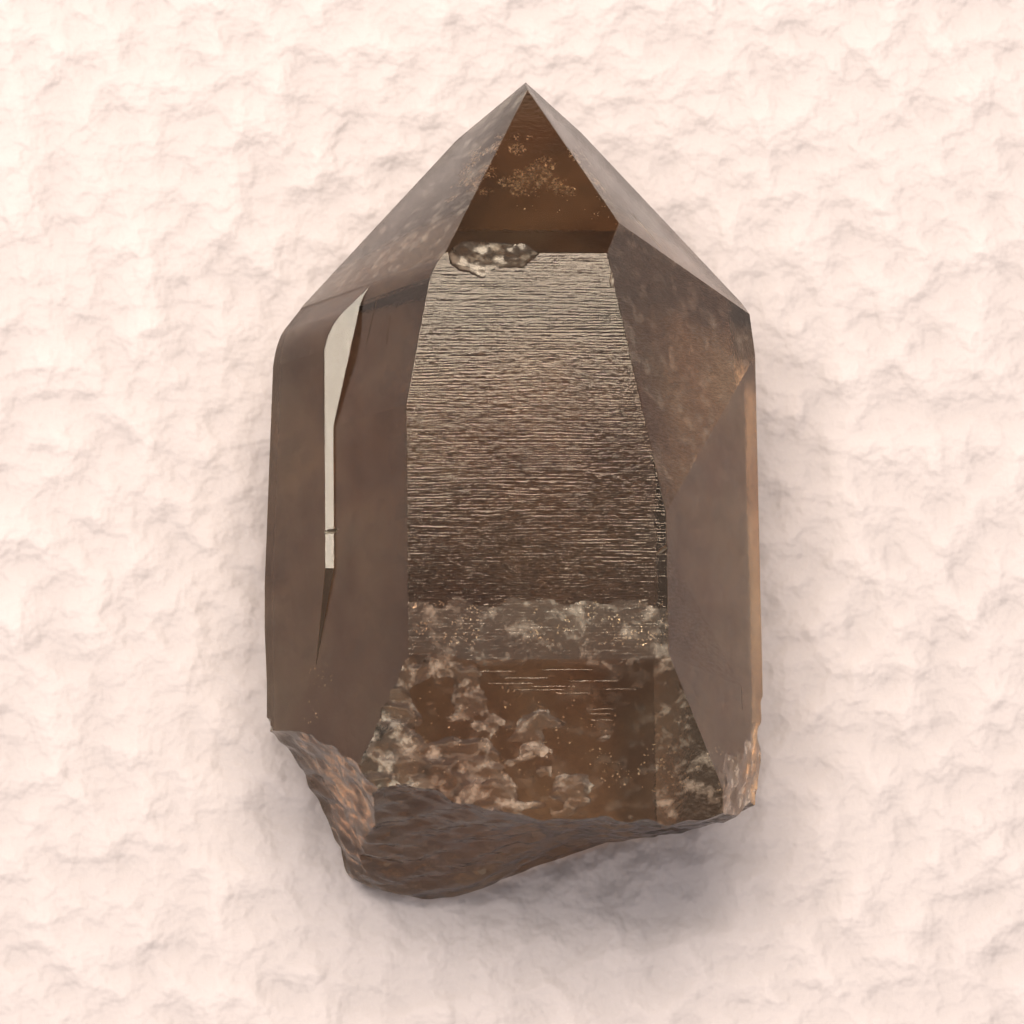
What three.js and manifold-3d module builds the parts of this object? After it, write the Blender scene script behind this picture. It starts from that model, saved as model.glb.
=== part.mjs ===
// Smoky quartz crystal with one point, lying on its flat back prism face.
// Millimetres. The crystal's long axis runs along Y with the tip towards +Y, +Z is its striated
// front face, and X is its width. It is shaped about that long axis, then set on Z = 0 at the end.
import * as THREE from "three";
import { ConvexGeometry } from "three/addons/geometries/ConvexGeometry.js";
import { mergeVertices } from "three/addons/utils/BufferGeometryUtils.js";
import Module from "manifold-3d";

const wasm = await Module();
wasm.setup();

// Habit of quartz, in degrees
const SIXTH_TURN = 60; // from one prism face to the next, about the long axis
const TIP_LEAN = 38.2; // lean of the six tip faces towards the tip
const STEEP_LEAN = 9.3; // lean of the two steep faces below the tip
const STEEP_RIGHT_AZIMUTH = 52.1; // the right steep face is turned a little towards the front

// Distance of each face from the crystal's long axis, or from the point where it crosses Y = 0
const PRISM = {
  front: 14.8,
  left: 16.13,
  right: 14.81,
  backLeft: 18.5,
  backRight: 15.2,
  back: 13.5,
};
const TIP = {
  front: 0,
  left: -0.91,
  right: -1.05,
  backLeft: 0.74,
  backRight: 0.3,
  back: -2,
};
const STEEP = { left: 11.07, right: 9.51 };
const BACK_LEFT_SHOULDER = [
  { lean: 26, distance: 5.96 },
  { lean: 13, distance: 11.71 },
  { lean: 3.9, distance: 15.46 },
];
const SHOULDER_RADIUS = 5.3; // the left shoulder is rounded, with no sharp edge below the tip face
const SHOULDER_STEPS = 2;
const UNBROKEN_END = -72; // the prism is made longer than what is left of it, then broken off

// The second crystal grown parallel to the first, which shows as a ledge down the left face
const LEDGE = { tip: -0.97, steep: 11.7, left: 16.62 };
const LEDGE_STEEP_LEAN = 11;
const LEDGE_FOOT = new THREE.Vector3(-15.43, 0, 6.0); // the ledge's narrow front face passes here
const LEDGE_FRONT_AZIMUTH = -14;
const LEDGE_INNER_X = -5; // the rest of the second crystal is inside the first
const LEDGE_BEND_Y = -40.6; // below this it turns back and dies out
const LEDGE_TURN_LEAN = -15;
const LEDGE_FADE_LEAN = -3.8;

// Growth lines across the striated faces
const LINE_PITCH = 0.58;
const LINE_PITCH_SPREAD = 0.22;
const LINE_LENGTH = [1.4, 5.2];
const LINE_WIDTH = [0.12, 0.3];
const LINE_DEPTH = [0.03, 0.075];
const LINE_GAP = [0.3, 2.4]; // from the end of one line to the start of the next
const LINE_SHORTEST = 0.6;
const LINE_FIRST = [-0.5, 2.5]; // where the first line of a row starts, from the left edge
const LINE_WANDER = 0.08;
const LINE_TAPER = 0.12; // share of a line's length over which it runs out at each end
const BACK_LINE_PITCH = 1.28;
const PROUD = 0.06; // how far a cutter stands out of the face it cuts

const CUTTER_THICKNESS = 34;
const FINE_SHARE = 0.4; // height of the finer unevenness of a break against the coarse one
const FINE_SCALE = 2.3; // and how much closer together its bumps are
const FINE_SALT = 9;
const COLOUR = new THREE.Color(0.27, 0.19, 0.15);

// A repeatable run of numbers between low and high
let seed = 20260;
function vary(low, high) {
  seed = (seed * 1664525 + 1013904223) % 4294967296;
  return low + ((high - low) * seed) / 4294967296;
}

function outward(azimuth, lean) {
  const a = THREE.MathUtils.degToRad(azimuth);
  const l = THREE.MathUtils.degToRad(lean);
  return new THREE.Vector3(Math.sin(a) * Math.cos(l), Math.sin(l), Math.cos(a) * Math.cos(l));
}

function face(azimuth, lean, distance) {
  return new THREE.Plane(outward(azimuth, lean), -distance);
}

function faceThrough(azimuth, lean, point) {
  const normal = outward(azimuth, lean);
  return new THREE.Plane(normal, -normal.dot(point));
}

// Corner shared by three faces, or null where two of them are parallel
function corner(a, b, c) {
  const normals = new THREE.Matrix3().set(
    ...a.normal.toArray(),
    ...b.normal.toArray(),
    ...c.normal.toArray(),
  );
  if (Math.abs(normals.determinant()) < 1e-6) {
    return null;
  }
  return new THREE.Vector3(-a.constant, -b.constant, -c.constant).applyMatrix3(normals.invert());
}

// Faces that round off the edge between an upper and a lower face of one azimuth
function rounding(azimuth, upper, lower) {
  const a = THREE.MathUtils.degToRad(upper.lean);
  const b = THREE.MathUtils.degToRad(lower.lean);
  const high = upper.distance - SHOULDER_RADIUS;
  const low = lower.distance - SHOULDER_RADIUS;
  const out = (high * Math.sin(b) - low * Math.sin(a)) / Math.sin(b - a);
  const along = (low * Math.cos(a) - high * Math.cos(b)) / Math.sin(b - a);
  const faces = [];
  for (let k = 1; k <= SHOULDER_STEPS; k += 1) {
    const lean = THREE.MathUtils.lerp(upper.lean, lower.lean, k / (SHOULDER_STEPS + 1));
    const l = THREE.MathUtils.degToRad(lean);
    faces.push(face(azimuth, lean, out * Math.cos(l) + along * Math.sin(l) + SHOULDER_RADIUS));
  }
  return faces;
}

// The faces on the back left, which both crystals share
function backLeftFaces() {
  const turn = -2 * SIXTH_TURN;
  return [
    face(turn, 0, PRISM.backLeft),
    face(turn, TIP_LEAN, TIP.backLeft),
    ...BACK_LEFT_SHOULDER.map((step) => face(turn, step.lean, step.distance)),
  ];
}

// The convex body on the inner side of every face
function bodyWithin(faces) {
  const corners = [];
  faces.forEach((a, i) => {
    faces.slice(i + 1).forEach((b, j) => {
      faces.slice(i + j + 2).forEach((c) => {
        const point = corner(a, b, c);
        if (point && faces.every((f) => f.distanceToPoint(point) < 1e-6)) {
          corners.push(point);
        }
      });
    });
  });
  return solid(new ConvexGeometry(corners));
}

function solid(geometry) {
  const bare = geometry.index ? geometry.clone() : geometry;
  bare.deleteAttribute("normal");
  bare.deleteAttribute("uv");
  const welded = mergeVertices(bare, 1e-5);
  return new wasm.Manifold(
    new wasm.Mesh({
      numProp: 3,
      vertProperties: new Float32Array(welded.attributes.position.array),
      triVerts: new Uint32Array(welded.index.array),
    }),
  );
}

function geometryOf(body) {
  const mesh = body.getMesh();
  const geometry = new THREE.BufferGeometry();
  geometry.setAttribute("position", new THREE.BufferAttribute(mesh.vertProperties, 3));
  geometry.setIndex(new THREE.BufferAttribute(mesh.triVerts, 1));
  return geometry;
}

// Axes lying in a face: across it, up it towards the tip, and straight out of it
function facing(azimuth, lean, origin) {
  const out = outward(azimuth, lean);
  const a = THREE.MathUtils.degToRad(azimuth);
  const across = new THREE.Vector3(Math.cos(a), 0, -Math.sin(a));
  const up = new THREE.Vector3().crossVectors(out, across);
  return new THREE.Matrix4().makeBasis(across, up, out).setPosition(origin);
}

function mainCrystal() {
  return bodyWithin([
    face(0, 0, PRISM.front),
    face(-SIXTH_TURN, 0, PRISM.left),
    face(SIXTH_TURN, 0, PRISM.right),
    face(2 * SIXTH_TURN, 0, PRISM.backRight),
    face(180, 0, PRISM.back),
    face(0, TIP_LEAN, TIP.front),
    face(-SIXTH_TURN, TIP_LEAN, TIP.left),
    face(SIXTH_TURN, TIP_LEAN, TIP.right),
    face(2 * SIXTH_TURN, TIP_LEAN, TIP.backRight),
    face(180, TIP_LEAN, TIP.back),
    face(-SIXTH_TURN, STEEP_LEAN, STEEP.left),
    face(STEEP_RIGHT_AZIMUTH, STEEP_LEAN, STEEP.right),
    face(0, -90, -UNBROKEN_END),
    ...rounding(
      -SIXTH_TURN,
      { lean: TIP_LEAN, distance: TIP.left },
      { lean: STEEP_LEAN, distance: STEEP.left },
    ),
    ...backLeftFaces(),
  ]);
}

function parallelCrystal() {
  const bend = LEDGE_FOOT.clone().setY(LEDGE_BEND_Y);
  const fade = outward(-SIXTH_TURN, 0).multiplyScalar(LEDGE.left).setY(LEDGE_BEND_Y);
  return bodyWithin([
    faceThrough(LEDGE_FRONT_AZIMUTH, 0, LEDGE_FOOT),
    faceThrough(LEDGE_FRONT_AZIMUTH, LEDGE_TURN_LEAN, bend),
    face(-SIXTH_TURN, 0, LEDGE.left),
    faceThrough(-SIXTH_TURN, LEDGE_FADE_LEAN, fade),
    face(180, 0, PRISM.back),
    face(-SIXTH_TURN, TIP_LEAN, LEDGE.tip),
    face(180, TIP_LEAN, TIP.back),
    face(-SIXTH_TURN, LEDGE_STEEP_LEAN, LEDGE.steep),
    face(90, 0, LEDGE_INNER_X),
    face(0, -90, -UNBROKEN_END),
    ...rounding(
      -SIXTH_TURN,
      { lean: TIP_LEAN, distance: LEDGE.tip },
      { lean: LEDGE_STEEP_LEAN, distance: LEDGE.steep },
    ),
    ...backLeftFaces(),
  ]);
}

// Value between -1 and 1 that changes smoothly over a distance of one unit
function unevenness(u, v, salt) {
  const knot = (i, j) => {
    const s = Math.sin(i * 127.1 + j * 311.7 + salt * 74.7) * 43758.5453;
    return 2 * (s - Math.floor(s)) - 1;
  };
  const i = Math.floor(u);
  const j = Math.floor(v);
  const fu = THREE.MathUtils.smoothstep(u - i, 0, 1);
  const fv = THREE.MathUtils.smoothstep(v - j, 0, 1);
  const low = THREE.MathUtils.lerp(knot(i, j), knot(i + 1, j), fu);
  const high = THREE.MathUtils.lerp(knot(i, j + 1), knot(i + 1, j + 1), fu);
  return THREE.MathUtils.lerp(low, high, fv);
}

// Height of a broken surface above its mean plane: swells and hollows, ripples that spread from
// where the blow fell, and a rough grain
function relief(u, v, spec) {
  let height = 0;
  for (const swell of spec.swells ?? []) {
    const du = (u - swell.u) / swell.reachU;
    const dv = (v - swell.v) / swell.reachV;
    height += swell.rise * Math.exp(-du * du - dv * dv);
  }
  if (spec.ripples) {
    const far = Math.hypot(u - spec.ripples.u, v - spec.ripples.v);
    height += spec.ripples.rise * Math.sin((2 * Math.PI * far) / spec.ripples.pitch);
  }
  const coarse = unevenness(u / spec.lump, v / spec.lump, spec.salt);
  const finer = FINE_SCALE / spec.lump;
  const fine = unevenness(finer * u, finer * v, spec.salt + FINE_SALT);
  height += spec.rough * (coarse + FINE_SHARE * fine);
  return height;
}

// Everything outside a broken surface, as one solid to take away from the crystal
function breakAway(spec) {
  const slab = new THREE.BoxGeometry(
    spec.wide,
    spec.high,
    CUTTER_THICKNESS,
    spec.columns,
    spec.rows,
    1,
  );
  slab.translate(0, 0, CUTTER_THICKNESS / 2);
  const points = slab.attributes.position;
  for (let k = 0; k < points.count; k += 1) {
    if (points.getZ(k) < CUTTER_THICKNESS / 2) {
      points.setZ(k, relief(points.getX(k), points.getY(k), spec));
    }
  }
  const at = new THREE.Vector3(...spec.at);
  return solid(slab.applyMatrix4(facing(spec.azimuth, spec.lean, at)));
}

// The smooth slope below the front face
function frontSlope() {
  return breakAway({
    at: [0, -48.55, 14.8],
    azimuth: 0,
    lean: -38.2,
    wide: 56,
    high: 40,
    columns: 1,
    rows: 1,
    rough: 0,
    lump: 1,
    salt: 0,
  });
}

// The lumpy left part of that slope
function lumpySlope() {
  return breakAway({
    at: [-8.5, -48.9, 14.65],
    azimuth: -3,
    lean: -41,
    wide: 36,
    high: 30,
    columns: 32,
    rows: 26,
    rough: 0.4,
    lump: 2.6,
    salt: 3,
    swells: [{ u: -1.5, v: -7.5, reachU: 2.6, reachV: 2.2, rise: 0.5 }],
  });
}

// The small facet between the smooth slope and the right face
function cornerFacet() {
  return breakAway({
    at: [8.4, -54.1, 10.3],
    azimuth: 15.5,
    lean: -36.3,
    wide: 50,
    high: 40,
    columns: 1,
    rows: 1,
    rough: 0,
    lump: 1,
    salt: 0,
  });
}

// The uneven chip out of the edge between the front face and the front tip face
function edgeChip() {
  return breakAway({
    at: [-4.4, -19.0, 14.78],
    azimuth: -4,
    lean: 17,
    wide: 6.8,
    high: 9,
    columns: 20,
    rows: 26,
    rough: 0.16,
    lump: 1.1,
    salt: 17,
    swells: [
      { u: 2.6, v: 0.5, reachU: 0.9, reachV: 0.6, rise: -0.22 },
      { u: -2.2, v: -0.7, reachU: 1.2, reachV: 0.8, rise: 0.12 },
    ],
  });
}

// The broken end, which stands out at the bottom left and is hollow under the slope
function brokenEnd() {
  return breakAway({
    at: [0, -59, 0],
    azimuth: 0,
    lean: -90,
    wide: 52,
    high: 44,
    columns: 42,
    rows: 34,
    rough: 0.28,
    lump: 3.4,
    salt: 5,
    swells: [
      { u: -7, v: -13, reachU: 9, reachV: 9, rise: 4.7 },
      { u: -10, v: 7, reachU: 5, reachV: 5, rise: -2 },
      { u: 7, v: 5, reachU: 6, reachV: 5, rise: 0.6 },
      { u: 17, v: -2, reachU: 2, reachV: 14, rise: -1.6 },
    ],
    ripples: { u: -16, v: 10, pitch: 3.1, rise: 0.1 },
  });
}

// The hollow break that takes the lower left corner away
function leftHollow() {
  return breakAway({
    at: [-16.4, -55.6, -3],
    azimuth: -78.8,
    lean: -37.4,
    wide: 44,
    high: 34,
    columns: 34,
    rows: 26,
    rough: 0.26,
    lump: 2.8,
    salt: 7,
    swells: [
      { u: 0, v: -0.5, reachU: 16, reachV: 5.5, rise: -1.1 },
      { u: -1, v: 6, reachU: 5, reachV: 2.2, rise: 0.8 },
    ],
    ripples: { u: 4, v: 14, pitch: 2.7, rise: 0.08 },
  });
}

// The shallow break across the lower right corner
function rightLobe() {
  return breakAway({
    at: [12.63, -57.04, 7.6],
    azimuth: 65,
    lean: -8.3,
    wide: 30,
    high: 14,
    columns: 20,
    rows: 10,
    rough: 0.16,
    lump: 2.4,
    salt: 11,
  });
}

// Chips knocked out of the edges: place, half sizes and turn about Z in degrees
function chips() {
  const list = [
    { at: [19.1, -52.2, -0.4], half: [2.3, 3.6, 3.4], turn: 4 },
    { at: [4.8, -20.7, 15.1], half: [0.5, 1.1, 0.5], turn: -8 },
    { at: [8.4, -40.6, 15.0], half: [0.6, 0.45, 0.5], turn: 20 },
    { at: [8.9, -48.2, 14.9], half: [0.8, 0.6, 0.6], turn: -30 },
    { at: [-20.4, -51.6, -2.2], half: [0.8, 1.1, 1.6], turn: 0 },
  ];
  return list.map((chip) => {
    const lump = new THREE.IcosahedronGeometry(1, 2);
    lump.scale(...chip.half);
    lump.rotateZ(THREE.MathUtils.degToRad(chip.turn));
    lump.translate(...chip.at);
    return solid(lump);
  });
}

// A shallow groove in a face, running from one point to another in that face's own axes
function groove(axes, from, to, width, depth) {
  const along = new THREE.Vector2().subVectors(to, from);
  const taper = along.clone().multiplyScalar(LINE_TAPER);
  const side = new THREE.Vector2(-along.y, along.x).setLength(width / 2);
  const low = side.clone().multiplyScalar(-0.5); // the groove is steeper on its lower side
  const points = [
    [from.x + side.x, from.y + side.y, PROUD],
    [from.x - side.x, from.y - side.y, PROUD],
    [to.x + side.x, to.y + side.y, PROUD],
    [to.x - side.x, to.y - side.y, PROUD],
    [from.x + taper.x + low.x, from.y + taper.y + low.y, -depth],
    [to.x - taper.x + low.x, to.y - taper.y + low.y, -depth],
  ];
  const corners = points.map((p) => new THREE.Vector3(...p).applyMatrix4(axes));
  return solid(new ConvexGeometry(corners));
}

// Broken level lines all the way down one prism face
function growthLines(line) {
  const axes = facing(line.azimuth, 0, outward(line.azimuth, 0).multiplyScalar(line.distance));
  const cuts = [];
  let level = line.top;
  while (level > line.bottom) {
    let start = line.left + vary(...LINE_FIRST);
    while (start < line.right) {
      const length = vary(...LINE_LENGTH);
      const from = new THREE.Vector2(start, level + vary(-LINE_WANDER, LINE_WANDER));
      const to = new THREE.Vector2(Math.min(start + length, line.right), from.y);
      if (to.x - from.x > LINE_SHORTEST) {
        cuts.push(groove(axes, from, to, vary(...LINE_WIDTH), vary(...LINE_DEPTH)));
      }
      start += length + vary(...LINE_GAP);
    }
    level -= line.pitch + vary(-LINE_PITCH_SPREAD, LINE_PITCH_SPREAD);
  }
  return cuts;
}

function frontLines() {
  return growthLines({
    azimuth: 0,
    distance: PRISM.front,
    left: -10.2,
    right: 8.6,
    top: -19.6,
    bottom: -48,
    pitch: LINE_PITCH,
  });
}

function backLeftLines() {
  return growthLines({
    azimuth: -2 * SIXTH_TURN,
    distance: PRISM.backLeft,
    left: -9,
    right: 9,
    top: -46,
    bottom: -54,
    pitch: BACK_LINE_PITCH,
  });
}

function backRightLines() {
  return growthLines({
    azimuth: 2 * SIXTH_TURN,
    distance: PRISM.backRight,
    left: -9,
    right: 9,
    top: -26,
    bottom: -54,
    pitch: BACK_LINE_PITCH,
  });
}

// Short slits that follow the edges of the right tip face and the left steep face
function slits() {
  const onRightTip = facing(SIXTH_TURN, TIP_LEAN, outward(SIXTH_TURN, TIP_LEAN).multiplyScalar(TIP.right));
  const onLeftSteep = facing(
    -SIXTH_TURN,
    STEEP_LEAN,
    outward(-SIXTH_TURN, STEEP_LEAN).multiplyScalar(STEEP.left),
  );
  const list = [
    { axes: onRightTip, start: [7.3, -13.6, 6.1], stop: [9.5, -16.8, 7.2], width: 0.22, depth: 0.12 },
    { axes: onRightTip, start: [11.3, -19.8, 9.0], stop: [12.4, -20.9, 8.7], width: 0.2, depth: 0.1 },
    { axes: onLeftSteep, start: [-11.9, -20.7, 8.6], stop: [-12.8, -24.4, 8.3], width: 0.14, depth: 0.08 },
    { axes: onLeftSteep, start: [-11.0, -22.5, 10.7], stop: [-11.4, -24.9, 10.9], width: 0.14, depth: 0.08 },
  ];
  return list.map((slit) => {
    const inFace = slit.axes.clone().invert();
    const start = new THREE.Vector3(...slit.start).applyMatrix4(inFace);
    const stop = new THREE.Vector3(...slit.stop).applyMatrix4(inFace);
    const from = new THREE.Vector2(start.x, start.y);
    const to = new THREE.Vector2(stop.x, stop.y);
    return groove(slit.axes, from, to, slit.width, slit.depth);
  });
}

function quartzCrystal() {
  const grown = mainCrystal().add(parallelCrystal());
  const cutters = [
    frontSlope(),
    lumpySlope(),
    cornerFacet(),
    brokenEnd(),
    leftHollow(),
    rightLobe(),
    edgeChip(),
    ...chips(),
    ...frontLines(),
    ...backLeftLines(),
    ...backRightLines(),
    ...slits(),
  ];
  return grown.subtract(wasm.Manifold.union(cutters));
}

const material = new THREE.MeshStandardMaterial({ color: COLOUR, roughness: 0.12, metalness: 0 });
const geometry = geometryOf(quartzCrystal());
geometry.computeBoundingBox();
const middle = geometry.boundingBox.getCenter(new THREE.Vector3());
const crystal = new THREE.Mesh(geometry, material);
crystal.name = "crystal";
crystal.position.set(-middle.x, -middle.y, -geometry.boundingBox.min.z);

const group = new THREE.Group();
group.name = "smoky_quartz";
group.add(crystal);

export default group;
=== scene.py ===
"""Smoky quartz crystal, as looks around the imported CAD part.

The crystal is shaped in millimetres about its own long axis, exactly as the CAD part is, and then
set into the part's frame in metres. Each operator below builds one piece, or the stage.
"""

import math
import random

import bmesh
import bpy
import numpy as np
from bpy.props import FloatProperty, FloatVectorProperty, PointerProperty
from mathutils import Euler, Matrix, Vector


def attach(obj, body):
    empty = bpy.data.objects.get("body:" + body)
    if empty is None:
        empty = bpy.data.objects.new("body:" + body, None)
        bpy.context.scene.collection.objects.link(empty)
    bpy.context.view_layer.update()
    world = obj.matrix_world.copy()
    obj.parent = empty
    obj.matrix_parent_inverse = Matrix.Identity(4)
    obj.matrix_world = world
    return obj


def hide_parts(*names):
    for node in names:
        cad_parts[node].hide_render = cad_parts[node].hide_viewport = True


bl_info = {
    "name": "Smoky Quartz Crystal",
    "version": (1, 0, 0),
    "blender": (4, 5, 0),
    "location": "3D View > Sidebar > Quartz",
    "description": "Builds a smoky quartz crystal with growth lines and a broken base",
    "category": "Object",
}

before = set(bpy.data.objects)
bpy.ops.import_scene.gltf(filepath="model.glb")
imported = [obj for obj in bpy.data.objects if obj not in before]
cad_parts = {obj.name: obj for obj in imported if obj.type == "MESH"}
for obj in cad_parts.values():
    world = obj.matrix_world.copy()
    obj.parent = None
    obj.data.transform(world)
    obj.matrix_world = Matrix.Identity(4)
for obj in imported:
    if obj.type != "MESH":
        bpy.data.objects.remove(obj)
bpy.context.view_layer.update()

MM = 0.001

# Habit of quartz, in degrees
SIXTH_TURN = 60.0
TIP_LEAN = 38.2
STEEP_LEAN = 9.3
STEEP_RIGHT_AZIMUTH = 52.1

# Face distances from the long axis, in millimetres
PRISM = {
    "front": 14.8,
    "left": 16.13,
    "right": 14.81,
    "back_left": 18.5,
    "back_right": 15.2,
    "back": 13.5,
}
TIP = {
    "front": 0.0,
    "left": -0.91,
    "right": -1.05,
    "back_left": 0.74,
    "back_right": 0.3,
    "back": -2.0,
}
STEEP = {"left": 11.07, "right": 9.51}
BACK_LEFT_SHOULDER = ((26, 5.96), (13, 11.71), (3.9, 15.46))  # lean and distance of each facet
SHOULDER_RADIUS = 5.3  # the left shoulder is rounded, with no sharp edge below the tip face
SHOULDER_STEPS = 6
UNBROKEN_END = -72.0

# The second crystal, grown parallel to the first, shows as a ledge down the left face
LEDGE = {"tip": -0.97, "steep": 11.7, "left": 16.62}
LEDGE_STEEP_LEAN = 11.0
LEDGE_FOOT = (-15.43, 0.0, 6.0)
LEDGE_FRONT_AZIMUTH = -14.0
LEDGE_INNER_X = -5.0
LEDGE_BEND_Y = -40.6
LEDGE_TURN_LEAN = -15.0
LEDGE_FADE_LEAN = -3.8

CUTTER_THICKNESS = 34.0
EDGE_SEGMENTS = 2
EDGE_PROFILE = 0.6

# The frosted foot of the front face, in millimetres: its top, how far its ragged edge strays
# and in what steps
FROST_BAND_TOP = -44.4
BAND_RAGGED = 0.5
BAND_STEP = 1.3
BAND_SALT = 90

# How frosted, stained or lined the faces are, from 0 to 1
FRONT_FOOT_FROST = 0.38
BACK_STAIN = 0.75
TIP_FROST = 0.27
STEEP_FROST = 0.2
SATIN = 0.05
RISER_LINES = 0.6
CRUSHED = 0.9
ROUGH_BREAK = 0.2  # a face with more frost than this is a rough break

GROWTH_CREASE = 6.0  # angles in degrees above which an edge looks sharp
BREAK_CREASE = 50.0

# Tolerances in millimetres
POINT_TOLERANCE = 1e-6
WELD_DISTANCE = 1e-4
CUT_TOLERANCE = 1e-5
IN_PLANE = 0.005
ON_FACE = 0.02
NEAR_FACE = 0.15
NEAR_LINES = 0.2
BROKEN_BELOW = -0.045  # stone this far below the unbroken surface is broken

# Angles within which faces count as one: two in radians, and one as its cosine
HULL_ANGLE = 0.002
FLAT_ANGLE = 0.0008
SAME_DIRECTION = 0.9999

FLOOR_GAP = 0.0004  # the stone touches only the high spots of the rough ground, in metres


def outward(azimuth, lean):
    """The way a face looks: its turn about the long axis, and its lean towards the tip."""
    turn, tilt = math.radians(azimuth), math.radians(lean)
    flat = math.cos(tilt)
    return np.array([math.sin(turn) * flat, math.sin(tilt), math.cos(turn) * flat])


def face_at(azimuth, lean, distance):
    return outward(azimuth, lean), distance


def face_through(azimuth, lean, point):
    normal = outward(azimuth, lean)
    return normal, float(normal @ point)


def rounding(azimuth, upper, lower):
    """Faces that round off the edge between an upper and a lower face of one azimuth."""
    (high_lean, high), (low_lean, low) = upper, lower
    a, b = math.radians(high_lean), math.radians(low_lean)
    high, low = high - SHOULDER_RADIUS, low - SHOULDER_RADIUS
    out = (high * math.sin(b) - low * math.sin(a)) / math.sin(b - a)
    along = (low * math.cos(a) - high * math.cos(b)) / math.sin(b - a)
    faces = []
    for k in range(1, SHOULDER_STEPS + 1):
        lean = high_lean + (low_lean - high_lean) * k / (SHOULDER_STEPS + 1)
        t = math.radians(lean)
        distance = out * math.cos(t) + along * math.sin(t) + SHOULDER_RADIUS
        faces.append(face_at(azimuth, lean, distance))
    return faces


def back_left_faces():
    turn = -2 * SIXTH_TURN
    return [
        face_at(turn, 0, PRISM["back_left"]),
        face_at(turn, TIP_LEAN, TIP["back_left"]),
        *(face_at(turn, lean, distance) for lean, distance in BACK_LEFT_SHOULDER),
    ]


def main_faces():
    return [
        face_at(0, 0, PRISM["front"]),
        face_at(-SIXTH_TURN, 0, PRISM["left"]),
        face_at(SIXTH_TURN, 0, PRISM["right"]),
        face_at(2 * SIXTH_TURN, 0, PRISM["back_right"]),
        face_at(180, 0, PRISM["back"]),
        face_at(0, TIP_LEAN, TIP["front"]),
        face_at(-SIXTH_TURN, TIP_LEAN, TIP["left"]),
        face_at(SIXTH_TURN, TIP_LEAN, TIP["right"]),
        face_at(2 * SIXTH_TURN, TIP_LEAN, TIP["back_right"]),
        face_at(180, TIP_LEAN, TIP["back"]),
        face_at(-SIXTH_TURN, STEEP_LEAN, STEEP["left"]),
        face_at(STEEP_RIGHT_AZIMUTH, STEEP_LEAN, STEEP["right"]),
        face_at(0, -90, -UNBROKEN_END),
        *rounding(-SIXTH_TURN, (TIP_LEAN, TIP["left"]), (STEEP_LEAN, STEEP["left"])),
        *back_left_faces(),
    ]


def parallel_faces():
    foot = np.array(LEDGE_FOOT)
    bend = np.array([foot[0], LEDGE_BEND_Y, foot[2]])
    fade = outward(-SIXTH_TURN, 0) * LEDGE["left"]
    fade[1] = LEDGE_BEND_Y
    return [
        face_through(LEDGE_FRONT_AZIMUTH, 0, foot),
        face_through(LEDGE_FRONT_AZIMUTH, LEDGE_TURN_LEAN, bend),
        face_at(-SIXTH_TURN, 0, LEDGE["left"]),
        face_through(-SIXTH_TURN, LEDGE_FADE_LEAN, fade),
        face_at(180, 0, PRISM["back"]),
        face_at(-SIXTH_TURN, TIP_LEAN, LEDGE["tip"]),
        face_at(180, TIP_LEAN, TIP["back"]),
        face_at(-SIXTH_TURN, LEDGE_STEEP_LEAN, LEDGE["steep"]),
        face_at(90, 0, LEDGE_INNER_X),
        face_at(0, -90, -UNBROKEN_END),
        *rounding(-SIXTH_TURN, (TIP_LEAN, LEDGE["tip"]), (LEDGE_STEEP_LEAN, LEDGE["steep"])),
        *back_left_faces(),
    ]


def corners_within(faces):
    """Every point where three faces meet on the inner side of all the others."""
    normals = np.array([n for n, _ in faces])
    distances = np.array([d for _, d in faces])
    corners = []
    for i in range(len(faces)):
        for j in range(i + 1, len(faces)):
            for k in range(j + 1, len(faces)):
                three = normals[[i, j, k]]
                if abs(np.linalg.det(three)) < POINT_TOLERANCE:
                    continue
                point = np.linalg.solve(three, distances[[i, j, k]])
                if np.all(normals @ point <= distances + POINT_TOLERANCE):
                    corners.append(point)
    return corners


def convex_object(name, faces, edge_width):
    """The solid that lies on the inner side of every face, with its edges worn."""
    bm = bmesh.new()
    for point in corners_within(faces):
        bm.verts.new(point)
    bmesh.ops.remove_doubles(bm, verts=bm.verts[:], dist=WELD_DISTANCE)
    bmesh.ops.convex_hull(bm, input=bm.verts[:])
    bmesh.ops.dissolve_limit(bm, angle_limit=HULL_ANGLE, verts=bm.verts[:], edges=bm.edges[:])
    if edge_width > 0:
        bmesh.ops.bevel(
            bm,
            geom=bm.edges[:],
            offset=edge_width,
            offset_type="OFFSET",
            segments=EDGE_SEGMENTS,
            profile=EDGE_PROFILE,
            affect="EDGES",
            clamp_overlap=True,
        )
    return object_from(bm, name)


def object_from(bm, name):
    mesh = bpy.data.meshes.new(name)
    bm.to_mesh(mesh)
    bm.free()
    made = bpy.data.objects.new(name, mesh)
    bpy.context.scene.collection.objects.link(made)
    return made


def combine(target, tool, operation):
    """Joins tool to target, or cuts it away, and removes tool."""
    modifier = target.modifiers.new(operation, "BOOLEAN")
    modifier.operation = operation
    modifier.solver = "MANIFOLD"
    modifier.object = tool
    graph = bpy.context.evaluated_depsgraph_get()
    made = bpy.data.meshes.new_from_object(target.evaluated_get(graph))
    target.modifiers.clear()
    old = target.data
    target.data = made
    bpy.data.meshes.remove(old)
    used = tool.data
    bpy.data.objects.remove(tool)
    bpy.data.meshes.remove(used)


# Steps that scatter the values at the knots of an uneven surface
KNOT_STEPS = (127.1, 311.7, 74.7)
KNOT_SPREAD = 43758.5453


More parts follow.
